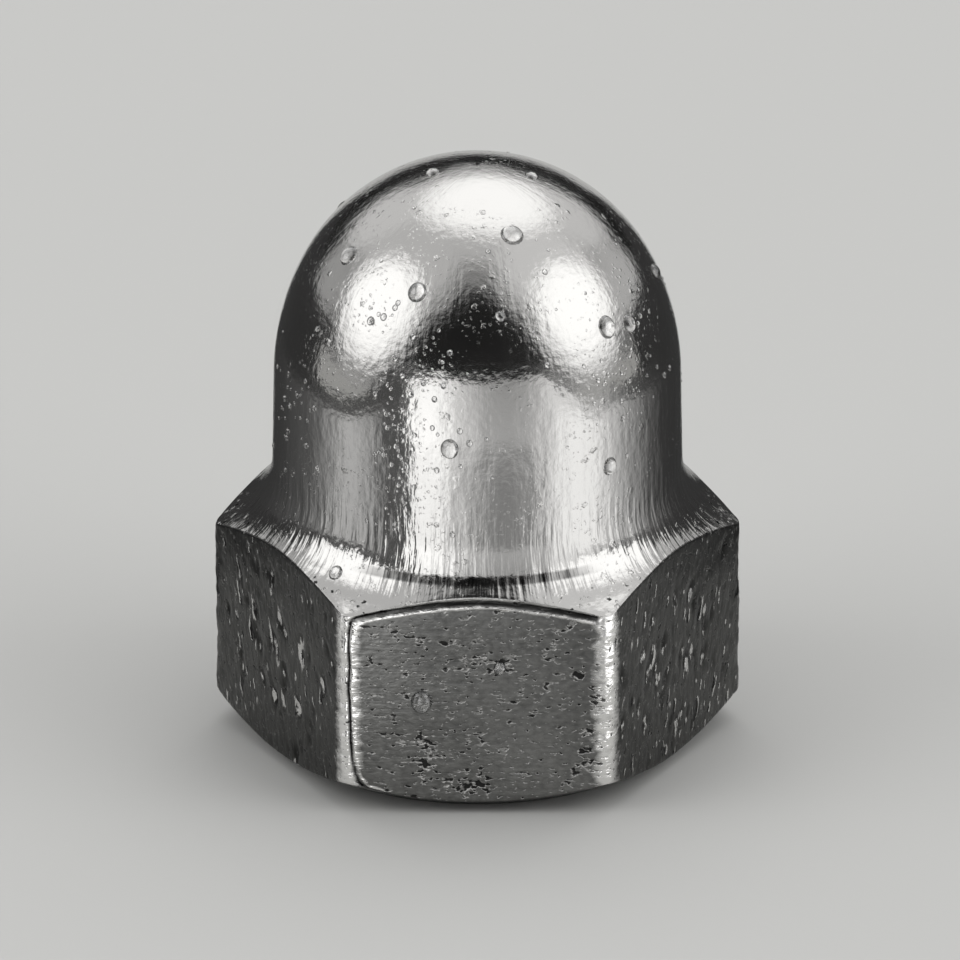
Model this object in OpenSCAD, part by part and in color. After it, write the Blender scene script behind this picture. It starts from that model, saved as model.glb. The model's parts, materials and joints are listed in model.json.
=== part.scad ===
// Domed cap nut: a hexagon nut closed on one side by a high dome. It is forged as one piece,
// then drilled and tapped from below. Sizes are in millimetres.
// The origin is the centre of the bearing face, and +Z runs up through the dome.

/* [Hexagon] */
// Width across the flats, which the wrench grips
across_flats = 18; // [17:0.5:24]
// Height from the bearing face to where the shoulder's slope would meet the dome's wall
hex_h = 9.75; // [6:0.25:13]
// Radius of the six upright corners
corner_r = 0.5; // [0.1:0.05:1.5]
// Diameter of the flat ring that bears on the work
bearing_d = 16.2; // [14:0.1:17]
// Slope of the shoulder above and of the chamfer below, from the horizontal
chamfer_angle = 30; // [15:1:40]

/* [Dome] */
// Height of the whole nut, from the bearing face to the top of the crown
total_h = 23.75; // [23:0.25:30]
// Diameter of the dome at its foot
dome_d = 16.2; // [13.5:0.1:17]
// How much smaller the crown's ball radius is than the radius at the dome's foot
crown_tuck = 0.33; // [0.2:0.01:1]
// Steepness of the crown's radius, above the horizontal, where the side arc turns into the crown
crown_start_angle = 26; // [15:1:40]
// Draft of the dome's wall, which lets it leave the forging die
wall_draft = 1; // [0.5:0.1:2]
// Radius of the hollow round where the shoulder turns up into the dome
neck_r = 2.8; // [1:0.1:3.2]

/* [Bore] */
// Nominal diameter of the thread
thread_d = 12; // [8:0.5:13]
// Pitch of the thread
thread_pitch = 1.75; // [1:0.05:2]
// Depth of the full-width bore, from the bearing face
bore_depth = 18; // [12:0.25:18.5]
// Full angle of the drill point at the blind end
drill_point_angle = 118; // [90:1:140]
// How much wider than the thread the countersink's mouth is
countersink_extra = 0.8; // [0.2:0.1:2]
// Full angle of the countersink
countersink_angle = 120; // [90:1:130]

/* [Hidden] */
$fn = 96;
corner_count = 6;
eps = 0.01; // what a cutter reaches past the face that it opens
// What each arc stands proud of the one before it, far less than any tolerance. Arcs that only
// touched would leave slivers, and these cross their neighbours in one clean edge.
lap = 0.0002;

// Hexagon: half its width, the circle that its rounded corners are centred on, and its chamfers
flat_r = across_flats / 2;
half_corner = 180 / corner_count;
corner_centre_r = (flat_r - corner_r) / cos(half_corner);
sharp_corner_r = flat_r / cos(half_corner);
bearing_r = bearing_d / 2;
chamfer_slope = tan(chamfer_angle);

// Dome: the drafted wall, the side arc and the crown, which follow one another up to the top.
// The side arc touches both the wall and the crown, which fixes its radius and its centre.
foot_r = dome_d / 2;
crown_r = foot_r - crown_tuck;
crown_z = total_h - crown_r - 2 * lap;
crown_start_z = crown_z + crown_r * sin(crown_start_angle);
wall_from_crown = foot_r * cos(wall_draft) - (crown_z - hex_h) * sin(wall_draft);
side_shift = (wall_from_crown - crown_r) / (1 - cos(crown_start_angle - wall_draft));
side_r = crown_r + side_shift;
side_x = -side_shift * cos(crown_start_angle);
side_z = crown_z - side_shift * sin(crown_start_angle);
wall_top_z = side_z + side_r * sin(wall_draft);
dome_root_z = hex_h / 2; // the dome's section starts here, inside the hexagon
function wall_r(z) = foot_r - (z - hex_h) * tan(wall_draft);

// Neck: the circle that touches both the shoulder and the wall
neck_angle = 90 - chamfer_angle - wall_draft;
neck_reach = neck_r / cos(neck_angle / 2);
neck_aim = wall_draft + neck_angle / 2;
neck_x = foot_r + neck_reach * cos(neck_aim);
neck_z = hex_h + neck_reach * sin(neck_aim);

// Bore: the hole that the tap drill leaves, its countersink and its pointed blind end
bore_r = (thread_d - thread_pitch) / 2;
countersink_r = (thread_d + countersink_extra) / 2;
countersink_depth = (countersink_r - bore_r) / tan(countersink_angle / 2);
drill_point_h = bore_r / tan(drill_point_angle / 2);

// Half of the section through the bottom chamfer and the shoulder, as far out as a sharp corner.
module shoulder_section() {
    rise = (sharp_corner_r - bearing_r) * chamfer_slope;
    fall = (sharp_corner_r - foot_r) * chamfer_slope;
    polygon([[0, 0], [bearing_r, 0], [sharp_corner_r, rise],
             [sharp_corner_r, hex_h - fall], [foot_r, hex_h], [0, hex_h]]);
}

// Half of the dome's section: wall, side arc and crown.
module dome_section() {
    polygon([[0, dome_root_z], [wall_r(dome_root_z), dome_root_z],
             [wall_r(wall_top_z), wall_top_z], [0, wall_top_z]]);
    intersection() {
        translate([side_x, side_z]) circle(side_r + lap);
        translate([0, dome_root_z]) square([sharp_corner_r, crown_start_z - dome_root_z]);
    }
    intersection() {
        translate([0, crown_z]) circle(crown_r + 2 * lap);
        translate([0, dome_root_z]) square([sharp_corner_r, total_h]);
    }
}

// Half of the section of the hollow round at the dome's foot.
module neck_section() {
    difference() {
        polygon([[foot_r - neck_r, hex_h - neck_r],
                 [neck_x - neck_r * sin(chamfer_angle), neck_z - neck_r * cos(chamfer_angle)],
                 [neck_x, neck_z],
                 [neck_x - neck_r * cos(wall_draft), neck_z - neck_r * sin(wall_draft)]]);
        translate([neck_x, neck_z]) circle(neck_r + lap);
    }
}

// The nut's round outline, before the wrench flats are pressed into it.
module round_blank() {
    rotate_extrude() {
        shoulder_section();
        dome_section();
        neck_section();
    }
}

// A hexagon with an arc on every corner, and a flat towards -Y.
module rounded_hexagon() {
    polygon([for (i = [0 : corner_count - 1], side = [-half_corner, half_corner])
        let (corner = 2 * half_corner * i)
        [corner_centre_r * cos(corner) + corner_r * cos(corner + side),
         corner_centre_r * sin(corner) + corner_r * sin(corner + side)]]);
    for (i = [0 : corner_count - 1])
        rotate(2 * half_corner * i)
            translate([corner_centre_r, 0])
                circle(corner_r + lap);
}

// The blind hole, with its countersink and drill point.
module bore() {
    translate([0, 0, -eps]) cylinder(r = bore_r, h = bore_depth + eps);
    translate([0, 0, bore_depth]) cylinder(r1 = bore_r, r2 = 0, h = drill_point_h);
    cylinder(r1 = countersink_r, r2 = bore_r, h = countersink_depth);
}

module cap_nut() {
    color("silver")
        difference() {
            intersection() {
                round_blank();
                linear_extrude(total_h) rounded_hexagon();
            }
            bore();
        }
}

cap_nut();
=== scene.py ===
import json
import math
import random

import bmesh
import bpy
import numpy as np
from mathutils import Matrix, Vector, noise


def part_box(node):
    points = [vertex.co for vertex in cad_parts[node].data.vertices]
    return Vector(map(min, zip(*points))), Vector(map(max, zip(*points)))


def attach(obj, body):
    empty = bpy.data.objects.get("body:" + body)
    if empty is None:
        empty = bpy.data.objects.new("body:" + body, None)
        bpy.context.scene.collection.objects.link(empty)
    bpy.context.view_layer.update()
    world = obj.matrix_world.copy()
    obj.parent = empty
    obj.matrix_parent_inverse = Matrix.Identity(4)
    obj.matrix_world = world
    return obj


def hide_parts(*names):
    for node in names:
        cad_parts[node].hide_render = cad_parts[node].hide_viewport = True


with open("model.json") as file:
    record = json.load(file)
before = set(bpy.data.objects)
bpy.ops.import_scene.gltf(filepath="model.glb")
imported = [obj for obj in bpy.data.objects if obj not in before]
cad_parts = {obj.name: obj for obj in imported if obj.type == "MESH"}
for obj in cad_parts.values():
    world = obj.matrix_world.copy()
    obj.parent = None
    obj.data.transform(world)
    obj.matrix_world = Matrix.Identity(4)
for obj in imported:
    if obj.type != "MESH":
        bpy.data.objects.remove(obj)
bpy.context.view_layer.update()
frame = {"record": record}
mm = 0.001

# ---------------------------------------------------------------------------------------------
# Camera. A long lens about twenty-five degrees above the bench, square to one of the six
# flats, so that the hexagon's upright edges stay nearly parallel.
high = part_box("cap_nut")[1]
flat_r = high.y
total_h = high.z
camera_height = math.radians(24.5)
camera_distance = 100 * flat_r
view_width = 4.2 * flat_r
aim = Vector((0.1 * mm, 0, 0.433 * total_h))

camera = bpy.data.cameras.new("camera")
camera.sensor_width = 36
camera.lens = camera.sensor_width * camera_distance / view_width
camera.clip_start = 0.01
camera.clip_end = 10
camera_object = bpy.data.objects.new("camera", camera)
towards_camera = Vector((0, -math.cos(camera_height), math.sin(camera_height)))
camera_object.location = aim + towards_camera * camera_distance
camera_object.rotation_euler = towards_camera.to_track_quat("Z", "Y").to_euler()
bpy.context.scene.collection.objects.link(camera_object)
bpy.context.scene.camera = camera_object
bpy.context.scene.view_settings.view_transform = "Standard"


# ---------------------------------------------------------------------------------------------
# Studio. A plain pale tabletop, wide enough to run out of the picture on every side, under large
# diffused lights. Cards stand about it, for the metal to mirror.
def linear(hex_colour):
    """An sRGB hex colour, such as "D0D0D0", as a linear RGBA value."""
    channels = [int(hex_colour[i : i + 2], 16) / 255 for i in (0, 2, 4)]
    return [c / 12.92 if c <= 0.04045 else ((c + 0.055) / 1.055) ** 2.4 for c in channels] + [1]


def new_material(name):
    """A material with only its Principled shader, which is returned with it."""
    made = bpy.data.materials.new(name)
    made.use_nodes = True
    return made, made.node_tree.nodes["Principled BSDF"]


def add_node(material, kind, settings=None, **inputs):
    """Adds a node. An input is a value, or the socket or node that feeds it. _0 is the first."""
    node = material.node_tree.nodes.new("ShaderNode" + kind)
    for name, value in (settings or {}).items():
        setattr(node, name, value)
    for name, value in inputs.items():
        key = int(name[1:]) if name[1:].isdigit() else name.replace("_", " ")
        socket = node.inputs[key]
        if isinstance(value, bpy.types.Node):
            value = value.outputs[0]
        if isinstance(value, bpy.types.NodeSocket):
            material.node_tree.links.new(value, socket)
        else:
            socket.default_value = value
    return node


def one_sided(material, shader):
    """Lets the camera and the light through where a surface is met from behind."""
    behind = add_node(material, "NewGeometry").outputs["Backfacing"]
    mix = add_node(
        material, "MixShader", _0=behind, _1=shader, _2=add_node(material, "BsdfTransparent")
    )
    output = material.node_tree.nodes["Material Output"]
    material.node_tree.links.new(mix.outputs[0], output.inputs["Surface"])


# Laminate, pressed matt: it takes the nut's soft shadow, and shows no highlight of its own.
tabletop_size = 1.6
bpy.ops.mesh.primitive_plane_add(size=tabletop_size)
tabletop = bpy.context.object
tabletop.name = "tabletop"
laminate, shader = new_material("pale laminate")
shader.inputs["Base Color"].default_value = linear("C2C2C0")
shader.inputs["Roughness"].default_value = 0.6
shader.inputs["Specular IOR Level"].default_value = 0
one_sided(laminate, shader)
tabletop.data.materials.append(laminate)


def direction(azimuth, elevation):
    """A unit vector. Azimuth is in degrees to the right of straight towards the camera."""
    a, e = math.radians(azimuth), math.radians(elevation)
    return Vector((math.sin(a) * math.cos(e), -math.cos(a) * math.cos(e), math.sin(e)))


# The room: dark above the horizon, with large diffused lights overhead and on both sides.
smooth = {"interpolation_type": "SMOOTHSTEP"}
below_horizon, above_horizon, horizon_blur = 0.4, 0.02, 0.04
world = bpy.data.worlds.new("studio")
bpy.context.scene.world = world
world.use_nodes = True
background = world.node_tree.nodes["Background"]
towards = add_node(world, "TexCoord").outputs["Generated"]
light = add_node(
    world, "MapRange", smooth, Value=add_node(world, "SeparateXYZ", Vector=towards).outputs["Z"],
    From_Min=0.0, From_Max=horizon_blur, To_Min=below_horizon, To_Max=above_horizon,
)
# Azimuth and elevation of the middle, half-widths of the even part and of the whole, radiance.
diffused_lights = (
    (172, 60, 12, 41, 1.95),
    (180, 86, 14, 30, 0.8),
    (0, 74, 8, 20, 0.4),
    (-75, 31, 14, 35, 2.1),
    (74, 30, 14, 37, 2.1),
    (-84, 52, 20, 46, 0.85),
    (80, 52, 20, 43, 1.05),
    (-139, 38, 10, 28, 1.0),
    (139, 38, 10, 28, 1.0),
    (-119, 14, 6, 22, 0.55),
    (117, 14, 8, 26, 0.75),
)
for azimuth, elevation, even, whole, brightness in diffused_lights:
    nearness = add_node(
        world, "VectorMath", {"operation": "DOT_PRODUCT"},
        _0=towards, _1=direction(azimuth, elevation),
    ).outputs["Value"]
    glow = add_node(
        world, "MapRange", smooth, Value=nearness, From_Min=math.cos(math.radians(whole)),
        From_Max=math.cos(math.radians(even)), To_Min=0.0, To_Max=brightness,
    )
    light = add_node(world, "Math", {"operation": "MAXIMUM"}, _0=light, _1=glow)
world.node_tree.links.new(light.outputs[0], background.inputs["Strength"])
background.inputs["Color"].default_value = (1, 1, 1, 1)

# A bent card stands round the front of the nut, lit on its inner side. Its brightness and its
# height change along it. Two dark screens stand farther off at the sides. They are all only there
# to be mirrored in the metal, and leave no light or shade on the tabletop.
lit_paper, shader = new_material("lit paper")
shader.inputs["Base Color"].default_value = (0, 0, 0, 1)
shader.inputs["Specular IOR Level"].default_value = 0
shader.inputs["Emission Color"].default_value = (1, 1, 1, 1)
brightness = add_node(lit_paper, "Attribute", {"attribute_name": "radiance"}).outputs["Fac"]
lit_paper.node_tree.links.new(brightness, shader.inputs["Emission Strength"])
one_sided(lit_paper, shader)
front_half = 32  # degrees to each side, as far as the card's tall part in front reaches


def standing_card(name, radius, stations, rows):
    """A card on an arc round the nut. Its stations go from left to right, and its rows go up."""
    points, levels = [], []
    for share, along_top, brighter in rows:
        for azimuth, height, radiance, at_top in stations:
            points.append(direction(azimuth, 0) * radius + Vector((0, 0, height * share * mm)))
            in_front = abs(azimuth) < front_half
            levels.append((at_top if along_top else radiance) + brighter * in_front)
    count = len(stations)
    starts = [i for i in range(len(points) - count) if (i + 1) % count]
    card = bpy.data.objects.new(name, bpy.data.meshes.new(name))
    card.data.from_pydata(points, [], [(i + 1, i, count + i, count + i + 1) for i in starts])
    card.data.attributes.new("radiance", "FLOAT", "POINT").data.foreach_set("value", levels)
    card.data.materials.append(lit_paper)
    bpy.context.scene.collection.objects.link(card)
    card.visible_camera = False
    card.visible_diffuse = False
    card.visible_shadow = False


# Azimuth in degrees, height in millimetres, radiance, and radiance along the top.
bent_card = (
    (-152, 9, 0.04, 0.04), (-140, 12, 0.05, 0.05), (-126, 13, 0.06, 0.05),
    (-110, 13.3, 0.1, 0.05), (-95, 13.5, 0.14, 0.06), (-86, 13.5, 0.25, 0.08),
    (-78, 13, 0.42, 0.1), (-65, 13.5, 0.85, 0.1), (-54, 15.5, 0.6, 0.1),
    (-43, 19.5, 0.13, 0.1), (-33, 21, 0.13, 0.12), (-31, 20.7, 1.85, 1.85),
    (-19, 21.3, 1.8, 1.8), (-12, 21.3, 1.15, 1.15), (-4, 21.3, 0.76, 0.76),
    (6, 21.3, 0.42, 0.42), (15, 21.3, 0.36, 0.36), (25, 21.3, 0.5, 0.5),
    (35, 20.5, 1.2, 1.3), (44, 17, 1.7, 1.3), (56, 14, 1.65, 1), (68, 15, 0.95, 0.4),
    (81, 14.5, 0.5, 0.15), (95, 13.5, 0.18, 0.08), (110, 13.3, 0.06, 0.05),
    (126, 13, 0.05, 0.05), (140, 12, 0.05, 0.05), (152, 9, 0.04, 0.04),
)
# Share of the height, whether that row is along the top, and how much brighter it is in front.
card_rows = ((0, 0, 0), (0.33, 0, 0), (0.5, 0, 0.3), (0.78, 0, 0.22), (0.84, 1, 0.2), (1, 1, 0.15))
standing_card("bent card", 24 * mm, bent_card, card_rows)
screen_rows = ((0, 0, 0), (1, 0, 0))
for name, azimuths in (("left screen", range(-160, -80, 16)), ("right screen", range(96, 176, 16))):
    screen = [(azimuth, 23.5, 0.05, 0.05) for azimuth in azimuths]
    standing_card(name, 50 * mm, screen, screen_rows)

# ---------------------------------------------------------------------------------------------
# Cap nut. One piece of stainless steel, cold forged from a slug: a hexagon with rounded upright
# edges, chamfered at both ends, under a dome that runs into the shoulder in a hollow round. It
# is drilled and tapped from below, and the polished dome keeps fine marks where it was turned.
hex_h = 9.75 * mm
bearing_r = 8.1 * mm
foot_r = 8.1 * mm
chamfer_angle = math.radians(30)
neck_r = 2.8 * mm
crown_tuck = 0.33 * mm
crown_start_angle = math.radians(26)
crown_end_angle = math.radians(89.2)
wall_draft = math.radians(1)
rolled_up = 0.05 * mm  # how far the rounds on the flats' scalloped edges reach up the shoulder
rolled_down = 0.14 * mm  # and how far they reach along the flats
nearly = 0.0001 * mm

half_corner = math.pi / 6
sharp_corner_r = flat_r / math.cos(half_corner)
corner_r = (sharp_corner_r - high.x) / (1 / math.cos(half_corner) - 1)
corner_steps = 10
flat_steps = 85
flat_rows = 60
chamfer_rows = 3
rolled_rows = 8
neck_rows = 18
wall_rows = 8
side_rows = 10
crown_rows = 26


def arc(x, z, radius, start, end, steps):
    """Points of radius and height on an arc, from one angle to the other, both ends included."""
    angles = np.linspace(start, end, steps + 1)
    return [(x + radius * math.cos(a), z + radius * math.sin(a)) for a in angles]


def straight(start, end, steps):
    """The points between two others, without them."""
    return [tuple(np.add(start, np.subtract(end, start) * i / steps)) for i in range(1, steps)]


# The neck's circle touches both the shoulder and the wall.
neck_angle = math.pi / 2 - chamfer_angle - wall_draft
neck_reach = neck_r / math.cos(neck_angle / 2)
neck_x = foot_r + neck_reach * math.cos(wall_draft + neck_angle / 2)
neck_z = hex_h + neck_reach * math.sin(wall_draft + neck_angle / 2)
neck_end_x = neck_x - neck_r * math.sin(chamfer_angle)


def from_wall(reach):
    """How far the shoulder runs, along its section, from the dome's wall to that radius."""
    if reach > neck_end_x:
        return neck_r * neck_angle + (reach - neck_end_x) / math.cos(chamfer_angle)
    return neck_r * (math.acos((neck_x - reach) / neck_r) - wall_draft)


def shoulder_point(along):
    """Radius and height on the neck's hollow round, or on the cone beyond it."""
    angle = math.pi + wall_draft + min(along / neck_r, neck_angle)
    past_neck = max(0, along - neck_r * neck_angle)
    return (
        neck_x + neck_r * math.cos(angle) + past_neck * math.cos(chamfer_angle),
        neck_z + neck_r * math.sin(angle) - past_neck * math.sin(chamfer_angle),
    )


def shoulder_height(reach):
    """Heights of the shoulder at these radii, which are also where it meets the flats."""
    cone = hex_h - (reach - foot_r) * math.tan(chamfer_angle)
    hollow = neck_z - np.sqrt(np.maximum(neck_r**2 - (neck_x - reach) ** 2, 0))
    return np.where(reach < neck_end_x, hollow, cone)


def dome_section():
    """Radius and height of each ring from the wall's foot to the top of the crown."""
    # The side arc touches both the wall and the crown, which fixes its radius and its centre.
    crown_r = foot_r - crown_tuck
    crown_z = total_h - crown_r
    wall_from_crown = foot_r * math.cos(wall_draft) - (crown_z - hex_h) * math.sin(wall_draft)
    side_shift = (wall_from_crown - crown_r) / (1 - math.cos(crown_start_angle - wall_draft))
    side_x = -side_shift * math.cos(crown_start_angle)
    side_z = crown_z - side_shift * math.sin(crown_start_angle)
    side = arc(side_x, side_z, crown_r + side_shift, wall_draft, crown_start_angle, side_rows)
    crown = arc(0, crown_z, crown_r, crown_start_angle, crown_end_angle, crown_rows)
    foot = shoulder_point(0)
    return [foot] + straight(foot, side[0], wall_rows) + side + crown[1:]


dome = dome_section()


def rolled(corner, before, after):
    """The round over a corner of the section: it leaves one side and joins the other."""
    start, corner, end = (np.add(corner, shift) for shift in (before, (0, 0), after))
    shares = np.linspace(0, 1, rolled_rows + 1)
    return [tuple((1 - u) ** 2 * start + 2 * u * (1 - u) * corner + u**2 * end) for u in shares]


def column(reach):
    """Radius and height of every ring, from the base up, where the hexagon is that far out."""
    down_chamfer = np.array((-math.cos(chamfer_angle), -math.sin(chamfer_angle))) * rolled_up
    along_flat = np.array((0, rolled_down))
    run = from_wall(reach)
    edge = np.array(shoulder_point(run))
    chamfer_top = (reach, (reach - bearing_r) * math.tan(chamfer_angle))
    lower = rolled(chamfer_top, down_chamfer, along_flat)
    upper = rolled(edge, -along_flat, shoulder_point(run - rolled_up) - edge)
    chamfer = [(bearing_r, 0)] + straight((bearing_r, 0), lower[0], chamfer_rows)
    flat = straight(lower[-1], upper[0], flat_rows)
    shares = [1 - i / neck_rows for i in range(1, neck_rows)]
    shoulder = [shoulder_point((run - rolled_up) * share) for share in shares]
    return chamfer + lower + flat + upper + shoulder + dome


def place_ring(ring):
    """Brings the selected loop, whose vertices each keep their column, to one ring of the nut."""
    edit = bmesh.from_edit_mesh(nut.data)
    number = edit.verts.layers.int["column"]
    for vertex in edit.verts:
        if vertex.select:
            out, points = columns[vertex[number]]
            radius, height = points[ring]
            vertex.co = (out.x * radius, out.y * radius, height)
    bmesh.update_edit_mesh(nut.data)


def pick(kind, test):
    """Selects only the vertices, edges or faces that pass the test."""
    bpy.ops.mesh.select_all(action="DESELECT")
    bpy.ops.mesh.select_mode(type={"verts": "VERT", "edges": "EDGE", "faces": "FACE"}[kind])
    edit = bmesh.from_edit_mesh(bpy.context.object.data)
    for part in [part for part in getattr(edit, kind) if test(part)]:
        part.select_set(True)
    edit.select_flush_mode()
    bmesh.update_edit_mesh(bpy.context.object.data)


# The hexagon's outline: six corners, rounded, and steps along the flats.
bpy.ops.object.select_all(action="DESELECT")
bpy.ops.mesh.primitive_circle_add(vertices=6, radius=sharp_corner_r, rotation=(0, 0, half_corner))
nut = bpy.context.object
nut.name = "domed_cap_nut"
bpy.ops.object.transform_apply(location=False, rotation=True, scale=False)
bpy.ops.object.mode_set(mode="EDIT")
bpy.ops.mesh.select_all(action="SELECT")
bpy.ops.mesh.bevel(
    offset=corner_r * math.tan(half_corner), segments=corner_steps, affect="VERTICES"
)
pick("edges", lambda edge: edge.calc_length() > corner_r)
bpy.ops.mesh.subdivide(number_cuts=flat_steps - 1)

# The outline is extruded ring by ring, from the bearing face to the crown.
edit = bmesh.from_edit_mesh(nut.data)
number = edit.verts.layers.int.new("column")
columns = []
for vertex in edit.verts:
    vertex[number] = len(columns)
    columns.append((vertex.co.xy.normalized(), column(vertex.co.xy.length)))
bpy.ops.mesh.select_all(action="SELECT")
place_ring(0)
for ring in range(1, len(column(flat_r))):
    bpy.ops.mesh.extrude_region_move()
    place_ring(ring)
bpy.ops.mesh.extrude_region_move()
bpy.ops.transform.resize(value=(0, 0, 0), center_override=(0, 0, total_h))
bpy.ops.mesh.remove_doubles(threshold=nearly)
pick("verts", lambda v: v.co.z < nearly)
bpy.ops.mesh.edge_face_add()
bpy.ops.mesh.select_all(action="SELECT")
bpy.ops.mesh.normals_make_consistent(inside=False)
bpy.ops.object.mode_set(mode="OBJECT")

# The hexagon keeps its forged finish below the flats' rounded edges. The rest is polished, which
# is the first material.
forged_faces, tapped_faces = 1, 2
shoulder_edge = 0.02 * mm
for face in nut.data.polygons:
    reach = face.center.xy.length
    below_shoulder = shoulder_height(reach) - face.center.z
    on_flat = reach > bearing_r + 0.5 * rolled_up and below_shoulder > shoulder_edge
    if on_flat or face.center.z < nearly:
        face.material_index = forged_faces

# Forging leaves the hexagon uneven: slow waves all over, ripples down the corners, and long
# shallow dents, mostly upright, on the four flats that weren't ground afterwards. The front flat
# has only pits, and a fold runs along its top edge and down its left corner, where the metal
# lapped. Places on the flats are in millimetres across from the middle and up from the base.
flat_half = 4.95  # where the flats end and the upright edges begin
fold_line = [
    (4.66, 8.41), (3.6, 8.65), (2.1, 8.93), (0.9, 9.05), (0, 9.09), (-1.5, 9.01), (-3.1, 8.76),
    (-4.3, 8.54), (-4.74, 8.42), (-4.94, 8.25), (-5.03, 7.9), (-5.07, 7.4), (-5.02, 6.4),
    (-5.07, 5.3), (-5, 4.2), (-4.97, 3.1), (-4.9, 2.4), (-4.8, 1.8), (-4.62, 1.3), (-4.3, 1),
    (-3.8, 0.85),
]
# Place across and up the front flat, half-width and strength of the patches of pits on it.
front_pits = [
    (-2.25, 3.3, 0.32, 1.3), (-3.2, 3.4, 0.35, 0.7), (-1.9, 2.85, 0.3, 1), (-1.4, 3.5, 0.25, 0.7),
    (-2.2, 2.3, 0.35, 0.9), (-1.2, 2.55, 0.3, 0.6), (-2.1, 1.7, 0.4, 0.9), (-1.2, 1.3, 0.4, 0.9),
    (-0.3, 1.15, 0.45, 1.1), (0.5, 1.2, 0.4, 1), (0.1, 1.75, 0.25, 0.7), (-0.6, 2.6, 0.25, 0.5),
    (4.35, 3.5, 0.3, 1.2), (4.25, 2.75, 0.25, 1.1), (4.45, 2.2, 0.3, 0.9), (4.6, 5.1, 0.35, 0.8),
    (0.9, 6.45, 0.3, 0.9), (0.1, 6.8, 0.3, 0.7), (-0.3, 6.2, 0.3, 0.6), (-2.9, 6.4, 0.4, 0.5),
    (-2.6, 7.6, 0.4, 0.5), (3, 7.3, 0.4, 0.4), (3.9, 6, 0.3, 0.5), (-3, 5.2, 0.3, 0.6),
]


def within(value, low, high):
    """The value, or the nearer limit where it lies outside them."""
    return min(high, max(low, value))


def scattered_dents(across, up, rng, upright):
    """Depth, and a painted glint on one side of each dent, at each place on a flat of dents, most
    in a few loose groups.
    """
    depth, lip = np.zeros_like(across), np.zeros_like(across)
    full_lip = 0.045  # how deep a dent is whose lip is fully bright
    group_count = 6
    groups = [(rng.uniform(-3.2, 3.2), rng.uniform(2, 7.5)) for _ in range(group_count)]
    for i in range(90 if upright else 40):
        group_across, group_up = groups[i % group_count]
        to_right = across - within(rng.gauss(group_across, 1.3), -4.3, 4.3)
        to_top = up - within(rng.gauss(group_up, 1.5), 1, 8)
        size = rng.uniform(0.3, 1) ** 2.5
        if upright:
            long, wide, deep = 0.2 + 0.4 * size, 0.1 + 0.1 * size, 0.02 + 0.05 * size
            lean = rng.gauss(0.28, 0.14)
        else:
            long, wide, deep = 0.12 + 0.2 * size, 0.09 + 0.05 * size, 0.02 * size
            lean = rng.gauss(1.5, 0.25)
        x = to_right * math.cos(lean) + to_top * math.sin(lean)
        z = to_top * math.cos(lean) - to_right * math.sin(lean)
        square = (x / wide) ** 2 + (z / long) ** 2
        depth += deep * (1 - 0.5 * square) * np.exp(-square)
        # Painted glint: one side of each dent is painted bright, as if it caught the light.
        lip += np.clip(-x / wide, 0, None) * np.exp(-square) * deep / full_lip
    return depth, lip


def from_fold(across, up):
    """Distance of each place on the front flat from the fold, in millimetres."""
    nearest = np.full_like(across, np.inf)
    for (x0, z0), (x1, z1) in zip(fold_line, fold_line[1:]):
        run = np.array((x1 - x0, z1 - z0))
        share = np.clip(((across - x0) * run[0] + (up - z0) * run[1]) / (run @ run), 0, 1)
        nearest = np.minimum(
            nearest, np.hypot(across - x0 - share * run[0], up - z0 - share * run[1])
        )
    return nearest


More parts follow.
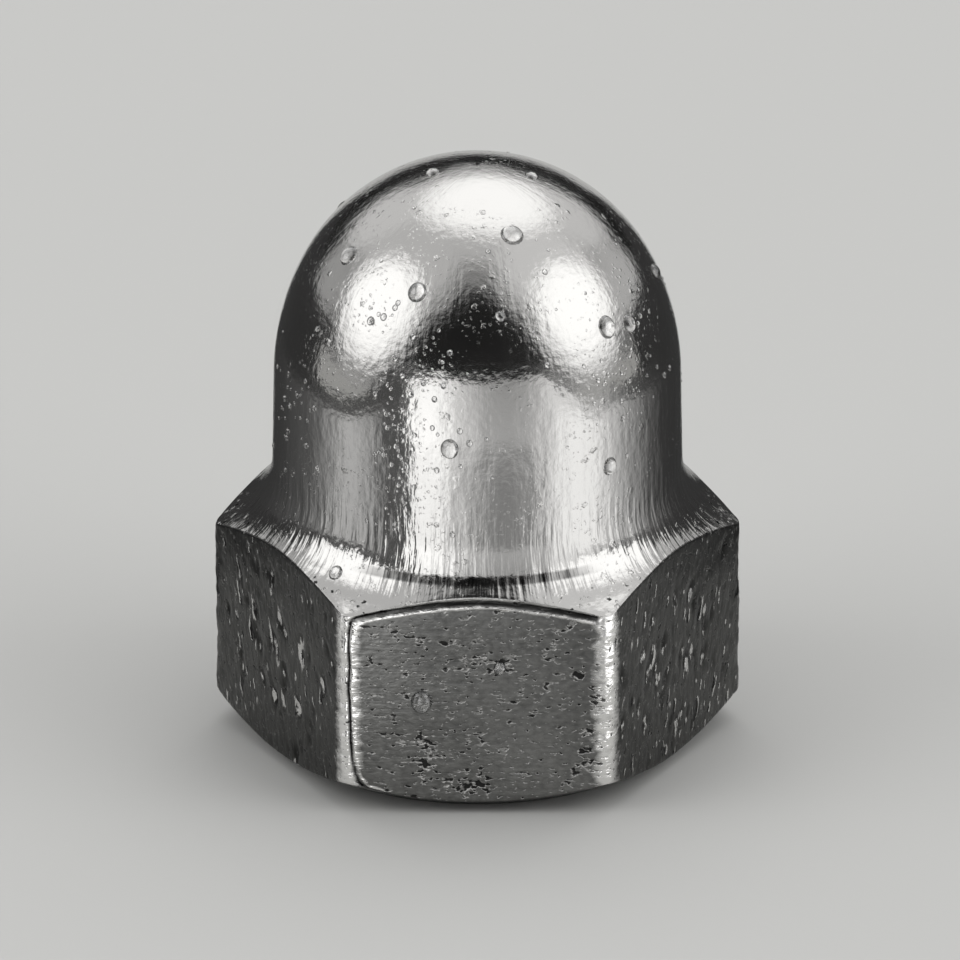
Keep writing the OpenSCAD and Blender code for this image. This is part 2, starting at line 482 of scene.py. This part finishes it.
def roughen(mesh):
    """Moves the hexagon's vertices in and out, and keeps as attributes what the finish and the
    painted light follow.
    """
    count = len(mesh.vertices)
    place, normal = np.zeros(count * 3), np.zeros(count * 3)
    mesh.vertices.foreach_get("co", place)
    mesh.vertices.foreach_get("normal", normal)
    place, normal = place.reshape(-1, 3) / mm, normal.reshape(-1, 3)
    x, y, z = place.T
    reach = np.hypot(x, y)
    edge_h = shoulder_height(reach * mm) / mm
    chamfer_foot, base = 0.2, 0.1  # what the chamfer keeps clear of the belt, inwards and upwards
    belt = (reach > flat_r / mm - chamfer_foot) & (z < edge_h + 0.01) & (z > base)
    azimuth = np.degrees(np.arctan2(x, -y))
    flat = np.round(azimuth / 60).astype(int) % 6
    across = reach * np.sin(np.radians(azimuth - 60 * np.round(azimuth / 60)))
    ground = belt & (flat % 3 == 0)
    dents, lip, pitted, fold = (np.zeros(count) for _ in range(4))

    # Dents, which lean outwards on the left and on the right alike, and end short of the edges.
    rng = random.Random(12)
    for i in range(6):
        here = belt & (flat == i)
        side = -1 if i in (1, 4) else 1
        dents[here], lip[here] = scattered_dents(across[here] * side, z[here], rng, i % 3 != 0)
    clear_below, fade_in = 0.15, (0.25, 0.2)
    inside = np.clip((flat_half - abs(across)) / fade_in[0], 0, 1)
    inside *= np.clip((edge_h - z - clear_below) / fade_in[1], 0, 1)
    inward = dents * inside
    full_hollow = 0.05
    # The dents' depths are kept, to paint their hollows dark: painted shade.
    hollow = np.clip(inward / full_hollow, 0, 1)

    # Patches of pits on the front flat, each in a slight hollow.
    pitted_depth = 0.03
    front = belt & (flat == 0)
    for right, up, wide, strength in front_pits:
        away = np.hypot(across[front] - right, z[front] - up)
        pitted[front] += strength * np.exp(-((away / wide) ** 2))
    inward += pitted_depth * pitted

    # The fold is a groove, wider along the top than down the side, in a wide shallow hollow.
    round_corner = 5.3
    along_top, top_end = 8.2, 8.3
    groove_depth, hollow_depth, hollow_half = 0.07, 0.035, 0.3
    near_front = belt & (y < 0) & (abs(x) < round_corner)
    away = from_fold(x[near_front], z[near_front])
    half = np.where(z[near_front] > along_top, 0.12, 0.08)
    # The groove's line is kept too, to be painted near-black: painted shade in the groove.
    fold[near_front] = np.exp(-((away / half) ** 4))
    inward[near_front] += groove_depth * np.exp(-((away / half) ** 2))
    inward[near_front] += hollow_depth * np.exp(-((away / hollow_half) ** 2))

    # Waves over the whole hexagon, and ripples on the upright edges.
    wave_depth, ripple_depth, fine_ripple_depth = 0.012, 0.045, 0.03
    edge_from, edge_width = 9.95, 0.3
    for i in np.flatnonzero(belt):
        at = Vector(place[i])
        waves = noise.noise(at * 0.45) + noise.noise(at * Vector((0.5, 0.5, 1.1)))
        ripples = ripple_depth * noise.noise(at * 1.2) + fine_ripple_depth * noise.noise(at * 3.1)
        on_edge = within((reach[i] - edge_from) / edge_width, 0, 1)
        inward[i] += wave_depth * waves + on_edge * ripples

    # The upright edges beside the front and back flats are worn and painted bright, a painted
    # highlight, and the others much less. The lip beside the fold is painted bright too, and so is
    # the metal above it.
    rubbed_width = 0.7
    least_wear, full_wear_from = 0.1, 5  # at the sides, and how far forward or back it is full
    lip_half, lip_shine, above_shine = 0.09, 0.9, 0.65
    worn = np.clip(1 - (flat_half - abs(across)) / rubbed_width, 0, 1) * belt
    worn *= np.clip(abs(y) / full_wear_from, least_wear, 1)
    near_lip = np.exp(-(((away - half - lip_half) / lip_half) ** 2))
    worn[near_front] = np.maximum(worn[near_front], near_lip * lip_shine)
    top_of_fold = np.array(sorted(point for point in fold_line if point[1] > top_end)).T
    above_fold = near_front & (z > np.interp(x, *top_of_fold))
    worn[above_fold] = np.maximum(worn[above_fold], above_shine)

    deepest = 0.13
    place -= normal * np.minimum(inward, deepest)[:, None]
    mesh.vertices.foreach_set("co", (place * mm).ravel())
    kept = {
        "worn": worn, "hollow": hollow, "lip": lip * inside,
        "pitted": pitted, "fold": fold, "ground": ground,
    }
    strongest = 1.5  # where marks lie on one another
    for name, values in kept.items():
        values = np.clip(values, 0, strongest)
        mesh.attributes.new(name, "FLOAT", "POINT").data.foreach_set("value", values.astype("f"))
    mesh.update()


roughen(nut.data)

# The drill, with its countersink and point, and the tap: a ridge that winds up round the axis.
hole = next(m["dims"] for m in frame["record"]["mounts"] if m["name"] == "thread")
bore_r = hole["r_mm"] * mm
pitch = 1.75 * mm
thread_r = 6 * mm
thread_flank = math.radians(30)
countersink_r = 6.4 * mm
countersink_half = math.radians(60)
countersink_h = (countersink_r - bore_r) / math.tan(countersink_half)
bore_top = countersink_h + hole["length_mm"] * mm
drill_point_half = math.radians(59)
drill_point_h = bore_r / math.tan(drill_point_half)
past = 0.2 * mm  # what the drill reaches out of the mouth
bore_steps = 96


def cut_away(cutter):
    """Takes a closed shape away from the nut."""
    bpy.ops.object.select_all(action="DESELECT")
    bpy.context.view_layer.objects.active = nut
    cut = nut.modifiers.new("cut", "BOOLEAN")
    cut.operation = "DIFFERENCE"
    cut.solver = "EXACT"
    cut.object = cutter
    for face in cutter.data.polygons:
        face.material_index = tapped_faces
    bpy.ops.object.modifier_apply(modifier="cut")
    bpy.data.objects.remove(cutter)


def section_loop(name, points, closed):
    """A new object with one line of edges through points of radius and height, at y = 0."""
    mesh = bpy.data.meshes.new(name)
    edges = [(i, i + 1) for i in range(len(points) - 1)] + [(len(points) - 1, 0)] * closed
    mesh.from_pydata([(r, 0, z) for r, z in points], edges, [])
    made = bpy.data.objects.new(name, mesh)
    bpy.context.scene.collection.objects.link(made)
    bpy.ops.object.select_all(action="DESELECT")
    bpy.context.view_layer.objects.active = made
    made.select_set(True)
    return made


mouth_r = countersink_r + past * math.tan(countersink_half)
drill_section = [
    (0, -past), (mouth_r, -past), (bore_r, countersink_h), (bore_r, bore_top),
    (0, bore_top + drill_point_h),
]
drill = section_loop("drill", drill_section, closed=False)
bpy.ops.object.mode_set(mode="EDIT")
bpy.ops.mesh.select_all(action="SELECT")
bpy.ops.mesh.spin(steps=bore_steps, angle=2 * math.pi, center=(0, 0, 0), axis=(0, 0, 1))
bpy.ops.mesh.select_all(action="SELECT")
bpy.ops.mesh.remove_doubles(threshold=nearly)
bpy.ops.mesh.normals_make_consistent(inside=False)
bpy.ops.object.mode_set(mode="OBJECT")
cut_away(drill)

turns = 10
tap_start = -1.2 * mm
root_half = pitch / 16
inner_r = bore_r - 0.15 * mm
inner_half = root_half + (thread_r - inner_r) * math.tan(thread_flank)
ridge = [
    (inner_r, -inner_half), (thread_r, -root_half), (thread_r, root_half), (inner_r, inner_half),
]
tap = section_loop("tap", ridge, closed=True)
tap.data.transform(Matrix.Translation((0, 0, tap_start)))
wind = tap.modifiers.new("wind", "SCREW")
wind.angle = 2 * math.pi
wind.screw_offset = pitch
wind.iterations = turns
wind.steps = bore_steps
bpy.ops.object.modifier_apply(modifier="wind")
bpy.ops.object.mode_set(mode="EDIT")
bpy.ops.mesh.select_all(action="SELECT")
bpy.ops.mesh.fill_holes(sides=4)
bpy.ops.mesh.normals_make_consistent(inside=False)
bpy.ops.object.mode_set(mode="OBJECT")
cut_away(tap)

nut.select_set(True)
bpy.ops.object.mode_set(mode="EDIT")
bpy.ops.mesh.select_all(action="SELECT")
bpy.ops.mesh.remove_doubles(threshold=nearly)
bpy.ops.object.mode_set(mode="OBJECT")
bpy.ops.object.shade_smooth_by_angle(angle=math.radians(25))

# Settings of the nodes that work out the patterns.
multiply = {"operation": "MULTIPLY"}
multiply_clamped = {"operation": "MULTIPLY", "use_clamp": True}
multiply_add = {"operation": "MULTIPLY_ADD"}
subtract_clamped = {"operation": "SUBTRACT", "use_clamp": True}
maximum = {"operation": "MAXIMUM"}
mix_colours = {"data_type": "RGBA"}


def blotches(size):
    """The scale of a noise whose blotches, two to a step, are about that many millimetres wide."""
    return 0.5 / (size * mm)


def drops(material, coordinates, spacing, share):
    """Height in millimetres of fine drops that far apart. That share of the places holds one."""
    cells = add_node(material, "TexVoronoi", Vector=coordinates, Scale=1 / (spacing * mm))
    chance = add_node(material, "SeparateColor", Color=cells.outputs["Color"])
    radius = add_node(
        material, "MapRange", {"clamp": False}, Value=chance.outputs["Red"],
        To_Min=0.5 - 0.5 / share, To_Max=0.5,
    )
    least = 0.001  # where there is no drop, so that nothing is divided by zero
    radius = add_node(material, "Math", maximum, _0=radius, _1=least)
    from_middle = cells.outputs["Distance"]
    out = add_node(material, "Math", {"operation": "DIVIDE"}, _0=from_middle, _1=radius)
    square = add_node(material, "Math", multiply, _0=out, _1=out)
    cap = add_node(material, "Math", subtract_clamped, _0=1.0, _1=square)
    rise = add_node(material, "Math", multiply, _0=radius, _1=spacing * 0.5)
    return add_node(material, "Math", multiply, _0=cap, _1=rise)


def relief(material, shader, *layers):
    """Adds up heights in millimetres, each times its share, and bumps the surface with them."""
    total = 0.0
    for height, share in layers:
        total = add_node(material, "Math", multiply_add, _0=height, _1=share, _2=total)
    bump = add_node(material, "Bump", Height=total, Distance=mm)
    material.node_tree.links.new(bump.outputs[0], shader.inputs["Normal"])


# Stainless steel, polished on the dome and the shoulder. Its reflections are sharp, but a mist of
# fine water drops breaks them up, and upright marks of turning show round the neck.
polished, shader = new_material("polished stainless steel under fine mist")
shader.inputs["Metallic"].default_value = 1
place = add_node(polished, "TexCoord").outputs["Object"]
apart = add_node(polished, "SeparateXYZ", Vector=place).outputs
level = apart["Z"]
off_axis = add_node(polished, "Mapping", Vector=place, Scale=(1, 1, 0))
out = add_node(polished, "VectorMath", {"operation": "LENGTH"}, _0=off_axis).outputs["Value"]
round_axis = add_node(polished, "VectorMath", {"operation": "NORMALIZE"}, _0=off_axis)
around = add_node(polished, "Mapping", Vector=round_axis, Scale=[bearing_r] * 3)


def drawn_upright(share):
    """Coordinates round the nut in which a pattern is drawn out upwards."""
    up = add_node(polished, "Mapping", Vector=place, Scale=(0, 0, share))
    return add_node(polished, "VectorMath", {"operation": "ADD"}, _0=around, _1=up)


streaks = add_node(polished, "TexNoise", Vector=drawn_upright(0.12), Scale=blotches(0.14))
trails = add_node(polished, "TexNoise", Vector=drawn_upright(0.35), Scale=blotches(0.3), Detail=3.0)
on_wall = add_node(polished, "MapRange", Value=level, From_Min=18.5 * mm, From_Max=15.5 * mm)
near_neck = add_node(
    polished, "MapRange", smooth,
    Value=level, From_Min=13 * mm, From_Max=10.8 * mm, To_Min=0.12, To_Max=1.0,
)
above_cone = add_node(polished, "MapRange", Value=level, From_Min=8.9 * mm, From_Max=9.4 * mm)
near_neck = add_node(polished, "Math", multiply, _0=near_neck, _1=above_cone)
uneven_polish = add_node(polished, "TexNoise", Vector=place, Scale=blotches(0.9))
roughness = add_node(polished, "MapRange", Value=uneven_polish, To_Min=0.08, To_Max=0.2)
polished.node_tree.links.new(roughness.outputs[0], shader.inputs["Roughness"])
# The drops are drawn on coordinates that a fine noise has pulled about, so they aren't round.
pull = add_node(polished, "TexNoise", Vector=place, Scale=1 / (0.12 * mm)).outputs["Color"]
warped = add_node(polished, "VectorMath", multiply_add, _0=pull, _1=[0.22 * mm] * 3, _2=place)
misted = add_node(polished, "TexNoise", Vector=place, Scale=blotches(1.2), Detail=1.0)
misted = add_node(polished, "MapRange", smooth, Value=misted, From_Min=0.38, From_Max=0.62)
near_corner = add_node(
    polished, "MapRange", smooth, Value=out, From_Min=8.8 * mm, From_Max=9.5 * mm
)
# In front only, the marks at the foot of the neck are painted dark as painted shade, and pits near
# the corners, all round, are painted dark too, as painted shade.
from_foot = add_node(polished, "Math", {"operation": "SUBTRACT"}, _0=level, _1=9.81 * mm)
from_foot = add_node(polished, "Math", {"operation": "ABSOLUTE"}, _0=from_foot)
at_foot = add_node(
    polished, "MapRange", smooth,
    Value=from_foot, From_Min=0.1 * mm, From_Max=0.2 * mm, To_Min=1.0, To_Max=0.0,
)
in_marks = add_node(polished, "MapRange", Value=streaks, To_Min=1.5, To_Max=0.0)
neck_and_pit_shade = add_node(polished, "Math", multiply_clamped, _0=at_foot, _1=in_marks)
in_front = add_node(
    polished, "MapRange", smooth, Value=apart["Y"], From_Min=-7 * mm, From_Max=-8 * mm
)
neck_and_pit_shade = add_node(polished, "Math", multiply, _0=neck_and_pit_shade, _1=in_front)
pits = add_node(polished, "Math", multiply, _0=drops(polished, warped, 0.24, 0.3), _1=near_corner)
pits = add_node(polished, "MapRange", smooth, Value=pits, From_Min=0.006, From_Max=0.018)
neck_and_pit_shade = add_node(polished, "Math", maximum, _0=neck_and_pit_shade, _1=pits)
colour = add_node(
    polished, "Mix", mix_colours, _0=neck_and_pit_shade, _6=linear("B9B8B6"), _7=linear("3A3A39")
).outputs[2]
polished.node_tree.links.new(colour, shader.inputs["Base Color"])
coarse_mist = add_node(polished, "Math", multiply, _0=drops(polished, warped, 0.36, 0.2), _1=misted)
fine_mist = add_node(polished, "Math", multiply, _0=drops(polished, warped, 0.15, 0.5), _1=misted)
corner_mist = add_node(
    polished, "Math", multiply, _0=drops(polished, warped, 0.28, 0.5), _1=near_corner
)
relief(
    polished, shader,
    (coarse_mist, 0.4),
    (fine_mist, 0.3),
    (corner_mist, 0.6),
    (add_node(polished, "TexNoise", Vector=place, Scale=blotches(0.4)), 0.014),
    (add_node(polished, "TexNoise", Vector=place, Scale=blotches(0.14), Detail=3.0), 0.014),
    (add_node(polished, "Math", multiply, _0=trails, _1=on_wall), 0.035),
    (add_node(polished, "Math", multiply, _0=streaks, _1=near_neck), 0.055),
)

# Stainless steel as the die and the tumbling barrel left it: a dull grey skin, painted darker as
# painted shade on the four flats that weren't ground, with marks painted dark inside and bright
# round their lips.
forged, shader = new_material("forged stainless steel, tumbled")
shader.inputs["Metallic"].default_value = 1
place = add_node(forged, "TexCoord").outputs["Object"]
kept = {
    name: add_node(forged, "Attribute", {"attribute_name": name}).outputs["Fac"]
    for name in ("worn", "hollow", "lip", "pitted", "fold", "ground")
}
unground = add_node(forged, "Math", subtract_clamped, _0=1.0, _1=kept["ground"])
# The upright marks lean outwards on the left and on the right alike.
marks_lean = -0.28
marks_upright = 0.3
apart = add_node(forged, "SeparateXYZ", Vector=place).outputs
across = add_node(forged, "Math", {"operation": "ABSOLUTE"}, _0=apart["X"])
across = add_node(forged, "Math", multiply_add, _0=apart["Z"], _1=marks_lean, _2=across)
up = add_node(forged, "Math", multiply, _0=apart["Z"], _1=marks_upright)
leaning = add_node(forged, "CombineXYZ", X=across, Y=apart["Y"], Z=up)
level_place = add_node(forged, "Mapping", Vector=place, Scale=(0.6, 1, 1))
grain = add_node(
    forged, "MapRange", Value=kept["ground"],
    To_Min=add_node(forged, "TexNoise", Vector=leaning, Scale=blotches(0.12), Detail=3.0),
    To_Max=add_node(forged, "TexNoise", Vector=level_place, Scale=blotches(0.1), Detail=3.0),
)
# Small pits crowd together in patches on the front flat, and are few elsewhere. Each is painted
# near-black inside as painted shade, with a painted glint round its rim.
fine_pits = add_node(forged, "TexNoise", Vector=level_place, Scale=blotches(0.08), Detail=1.5)
large_pits = add_node(forged, "TexNoise", Vector=level_place, Scale=blotches(0.17))
pit_noise = add_node(forged, "Math", maximum, _0=fine_pits, _1=large_pits)
pit_noise = add_node(forged, "Math", multiply_add, _0=kept["pitted"], _1=0.14, _2=pit_noise)
pits = add_node(forged, "MapRange", smooth, Value=pit_noise, From_Min=0.675, From_Max=0.735)
pit_rim_glint = add_node(forged, "MapRange", smooth, Value=pit_noise, From_Min=0.62, From_Max=0.67)
pit_rim_glint = add_node(forged, "Math", subtract_clamped, _0=pit_rim_glint, _1=pits)
rims_here = add_node(forged, "MapRange", Value=kept["ground"], To_Min=0.3, To_Max=1.0)
pit_rim_glint = add_node(forged, "Math", multiply, _0=pit_rim_glint, _1=rims_here)
rims_here = add_node(forged, "Math", multiply_add, _0=kept["pitted"], _1=0.5, _2=0.45)
pit_rim_glint = add_node(forged, "Math", multiply_clamped, _0=pit_rim_glint, _1=rims_here)
# The flats that weren't ground have tears, crowded in places: each is painted dark inside, as
# painted shade, with a painted glint along its outer side. The dents' painted glints are broken up
# by the grain.
pull = add_node(forged, "TexNoise", Vector=leaning, Scale=1 / (0.25 * mm)).outputs["Color"]
torn = add_node(forged, "VectorMath", multiply_add, _0=pull, _1=[0.3 * mm] * 3, _2=leaning)
beside = add_node(
    forged, "VectorMath", {"operation": "ADD"}, _0=torn, _1=(-0.04 * mm, -0.07 * mm, 0)
)
crowded = add_node(forged, "TexNoise", Vector=place, Scale=blotches(1.5), Detail=1.0)
crowded = add_node(forged, "MapRange", smooth, Value=crowded, From_Min=0.4, From_Max=0.6)
crowded = add_node(forged, "Math", multiply, _0=crowded, _1=unground)
tears = []
for at in (torn, beside):
    both = add_node(
        forged, "Math", maximum, _0=drops(forged, at, 0.55, 0.4), _1=drops(forged, at, 0.24, 0.4)
    )
    tears.append(add_node(forged, "Math", multiply, _0=crowded, _1=both))
in_tear, beside_tear = (
    add_node(forged, "MapRange", smooth, Value=depth, From_Min=0.002, From_Max=0.014)
    for depth in tears
)
# Painted glint where the tear, shifted a little, lies beside the tear itself.
tear_glint = add_node(forged, "Math", subtract_clamped, _0=beside_tear, _1=in_tear)
# Painted glints along one side of each dent, broken up by the grain.
dent_glint = add_node(forged, "Math", multiply_add, _0=grain, _1=2.8, _2=kept["lip"])
dent_glint = add_node(forged, "MapRange", smooth, Value=dent_glint, From_Min=1.88, From_Max=2.16)
dent_glint = add_node(forged, "Math", multiply, _0=dent_glint, _1=unground)
on_glint = add_node(forged, "Math", maximum, _0=tear_glint, _1=dent_glint)
# The upright edges are painted bright through fine fibres, a painted highlight on their wear, and
# the ground flats are brushed.
fibres = add_node(forged, "Mapping", Vector=place, Scale=(0.4, 0.6, 1))
fibres = add_node(forged, "TexNoise", Vector=fibres, Scale=blotches(0.14))
rubbed_sheen = add_node(forged, "Math", multiply_add, _0=fibres, _1=2.0, _2=-1.6)
rubbed_sheen = add_node(
    forged, "Math", {"operation": "MULTIPLY_ADD", "use_clamp": True},
    _0=kept["worn"], _1=1.8, _2=rubbed_sheen,
)
brushed = add_node(forged, "Mapping", Vector=place, Scale=(0.06, 1, 1))
brushed = add_node(forged, "TexNoise", Vector=brushed, Scale=blotches(0.06))
cloudy = add_node(forged, "Math", multiply_add, _0=grain, _1=1.4, _2=-0.6)
clouds = add_node(forged, "TexNoise", Vector=place, Scale=blotches(1.6))
cloudy = add_node(forged, "Math", multiply_add, _0=clouds, _1=0.8, _2=cloudy)
# The four flats that weren't ground get a darker skin: painted shade.
side_skin_painted_darker, ground_skin = (
    add_node(
        forged, "Mix", mix_colours, _0=cloudy, _6=linear(darker), _7=linear(lighter)
    ).outputs[2]
    for darker, lighter in (("343433", "5A5A58"), ("595958", "8A8A88"))
)
skin = add_node(
    forged, "Mix", mix_colours, _0=kept["ground"], _6=side_skin_painted_darker, _7=ground_skin
).outputs[2]
# Painted shade, near-black, in the pits and inside the tears.
pit_and_tear_shade = add_node(forged, "Math", maximum, _0=pits, _1=in_tear)
layers = (
    # Painted shade in the dents' hollows.
    (add_node(forged, "Math", multiply, _0=kept["hollow"], _1=0.7), "1C1C1B"),
    # Painted glints on the pits' rims.
    (pit_rim_glint, "B5B4B2"),
    (on_glint, "C8C7C5"),
    # Painted highlight on the worn upright edges and beside the fold.
    (rubbed_sheen, "F0EFED"),
    # Painted shade in the pits and the tears.
    (add_node(forged, "Math", multiply, _0=pit_and_tear_shade, _1=0.85), "121212"),
    # Painted shade, near-black, in the fold's groove.
    (kept["fold"], "080808"),
)
for share, colour in layers:
    skin = add_node(forged, "Mix", mix_colours, _0=share, _6=skin, _7=linear(colour)).outputs[2]
forged.node_tree.links.new(skin, shader.inputs["Base Color"])
shiny = add_node(forged, "Math", maximum, _0=rubbed_sheen, _1=on_glint)
roughness = add_node(forged, "MapRange", Value=shiny, To_Min=0.3, To_Max=0.14)
forged.node_tree.links.new(roughness.outputs[0], shader.inputs["Roughness"])
relief(
    forged, shader,
    (grain, 0.03),
    (add_node(forged, "Math", multiply_add, _0=pits, _1=2.0, _2=pit_rim_glint), -0.03),
    (tears[0], -0.7),
    (on_glint, 0.02),
    (add_node(forged, "Math", multiply, _0=fibres, _1=rubbed_sheen), 0.06),
    (add_node(forged, "Math", multiply, _0=brushed, _1=kept["ground"]), 0.012),
)

# Stainless steel, drilled and tapped: smooth cut faces with fine rings round the axis.
tapped, shader = new_material("tapped stainless steel")
shader.inputs["Metallic"].default_value = 1
shader.inputs["Base Color"].default_value = linear("BEBDBA")
place = add_node(tapped, "TexCoord").outputs["Object"]
rings = add_node(tapped, "Mapping", Vector=place, Scale=(0.1, 0.1, 1))
rings = add_node(tapped, "TexNoise", Vector=rings, Scale=blotches(0.06))
roughness = add_node(tapped, "MapRange", Value=rings, To_Min=0.2, To_Max=0.34)
tapped.node_tree.links.new(roughness.outputs[0], shader.inputs["Roughness"])
relief(tapped, shader, (rings, 0.01))

for made in (polished, forged, tapped):
    nut.data.materials.append(made)

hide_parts("cap_nut")
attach(nut, "root")

# ---------------------------------------------------------------------------------------------
# Water beads. Some twenty drops that sit on the wet nut, each a low dome of clear water less than
# a millimetre across, and much finer ones. Those on the steep wall hang a little, and run out
# downwards.
cap_cut = 0.42  # where a ball of radius 1 is cut to leave a bead
cap_sunk = 0.46  # how far the ball's middle lies under the metal, so that the cut is hidden
slipped_down = 0.06
drawn_down = 0.18
front_rise = 1.3  # the beads on the front flat stand a little higher


def seat_on_dome(azimuth, height):
    """A place on the round part of the nut, and which way it faces there."""
    radii, heights = zip(*dome)
    step = 0.1 * mm
    radius = np.interp(height * mm, heights, radii)
    below, above = (np.interp(height * mm + shift, heights, radii) for shift in (-step, step))
    outward = direction(azimuth, math.degrees(math.atan2(below - above, 2 * step)))
    return direction(azimuth, 0) * radius + Vector((0, 0, height * mm)), outward


# Azimuth in degrees, height in millimetres, and the bead's width in millimetres.
dome_beads = [
    (19.2, 22.57, 0.92), (-61, 21.2, 0.8), (-22.9, 20.87, 0.78), (45.3, 19.14, 0.85),
    (55.1, 18.88, 0.7), (-7.8, 15.25, 0.72), (40.1, 13.7, 0.66), (88, 19.4, 0.6),
    (-85, 23.55, 0.6), (83, 23.45, 0.55), (7.8, 20.23, 0.42), (-37.3, 19.6, 0.34),
    (-32.9, 19.85, 0.3), (150, 18.5, 0.8), (-160, 15.8, 0.7), (118, 14.4, 0.55),
    (-125, 20.4, 0.75), (175, 21.6, 0.6),
]
seats = [(*seat_on_dome(azimuth, height), width, 1) for azimuth, height, width in dome_beads]
neck_bead, neck_bead_r, neck_bead_faces = -38.8, 8.85 * mm, 43.8
on_neck = direction(neck_bead, 0) * neck_bead_r + Vector((0, 0, shoulder_height(neck_bead_r)))
seats.append((on_neck, direction(neck_bead, neck_bead_faces), 0.62, 1))
for across, up, width in ((-2.19, 4.87, 0.86), (0.88, 6.3, 0.5)):
    on_flat = Vector((across * mm, -flat_r, up * mm))
    seats.append((on_flat, Vector((0, -1, 0)), width, front_rise))

# Much finer beads lie in loose patches: azimuth, height, spread of each, and how many there are.
mist_patches = (
    (-64, 15.2, 8, 1.6, 44), (-25, 14.2, 4, 2.2, 44), (-20, 17.8, 7, 0.9, 34),
    (47, 16.5, 8, 1.4, 34), (62, 19, 8, 1.5, 16), (15, 20.5, 14, 1.2, 18),
    (-42, 20.5, 10, 1.3, 18), (-5, 14, 9, 2, 14), (120, 17, 14, 2, 34),
    (-140, 16.5, 14, 2, 34), (178, 20, 20, 1.3, 24),
)
rng = random.Random(7)
fine_seats = []
for azimuth, height, round_by, up_by, count in mist_patches:
    for _ in range(count):
        up = within(rng.gauss(height, up_by), 11.6, 23)
        seat = seat_on_dome(rng.gauss(azimuth, round_by), up)
        fine_seats.append((*seat, 0.1 + 0.17 * rng.random() ** 2, 1))


def cap_of_water(segments, ring_count):
    """The part of a ball of radius 1 that stands above a plane."""
    bpy.ops.object.select_all(action="DESELECT")
    bpy.ops.mesh.primitive_uv_sphere_add(segments=segments, ring_count=ring_count, radius=1)
    bpy.ops.object.mode_set(mode="EDIT")
    bpy.ops.mesh.select_all(action="SELECT")
    bpy.ops.mesh.bisect(
        plane_co=(0, 0, cap_cut), plane_no=(0, 0, 1), clear_inner=True, use_fill=True
    )
    bpy.ops.mesh.select_all(action="SELECT")
    bpy.ops.mesh.normals_make_consistent(inside=False)
    bpy.ops.object.mode_set(mode="OBJECT")
    return bpy.context.object


cap_r = math.sqrt(1 - cap_cut**2)
beads = []
for cap, cap_seats in ((cap_of_water(32, 24), seats), (cap_of_water(10, 8), fine_seats)):
    for place, outward, width, rise in cap_seats:
        bead = bpy.data.objects.new("bead", cap.data.copy())
        bpy.context.scene.collection.objects.link(bead)
        downhill = (Vector((0, 0, -1)) + outward * outward.z).normalized()
        steep = 1 - outward.z
        turn = Matrix((outward.cross(downhill), -downhill, outward)).transposed().to_4x4()
        size = width * mm / 2 / cap_r
        bead.data.transform(
            Matrix.Translation(place) @ turn
            @ Matrix.Diagonal((size, size * (1 + drawn_down * steep), size * rise, 1))
            @ Matrix.Translation((0, -slipped_down * steep, -cap_sunk))
        )
        beads.append(bead)
    bpy.data.objects.remove(cap)
bpy.ops.object.select_all(action="DESELECT")
for bead in beads:
    bead.select_set(True)
bpy.context.view_layer.objects.active = beads[0]
bpy.ops.object.join()
water_beads = bpy.context.object
water_beads.name = "water_beads"
bpy.ops.object.shade_smooth_by_angle(angle=math.radians(40))

# Clear water: it bends what is behind it and has a bright rim, and it has no colour of its own.
water, shader = new_material("clear water")
shader.inputs["Base Color"].default_value = (1, 1, 1, 1)
shader.inputs["Roughness"].default_value = 0
shader.inputs["IOR"].default_value = 1.333
shader.inputs["Transmission Weight"].default_value = 1
shader.inputs["Coat Weight"].default_value = 1
shader.inputs["Coat IOR"].default_value = 1.7
shader.inputs["Coat Roughness"].default_value = 0
water_beads.data.materials.append(water)
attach(water_beads, "root")
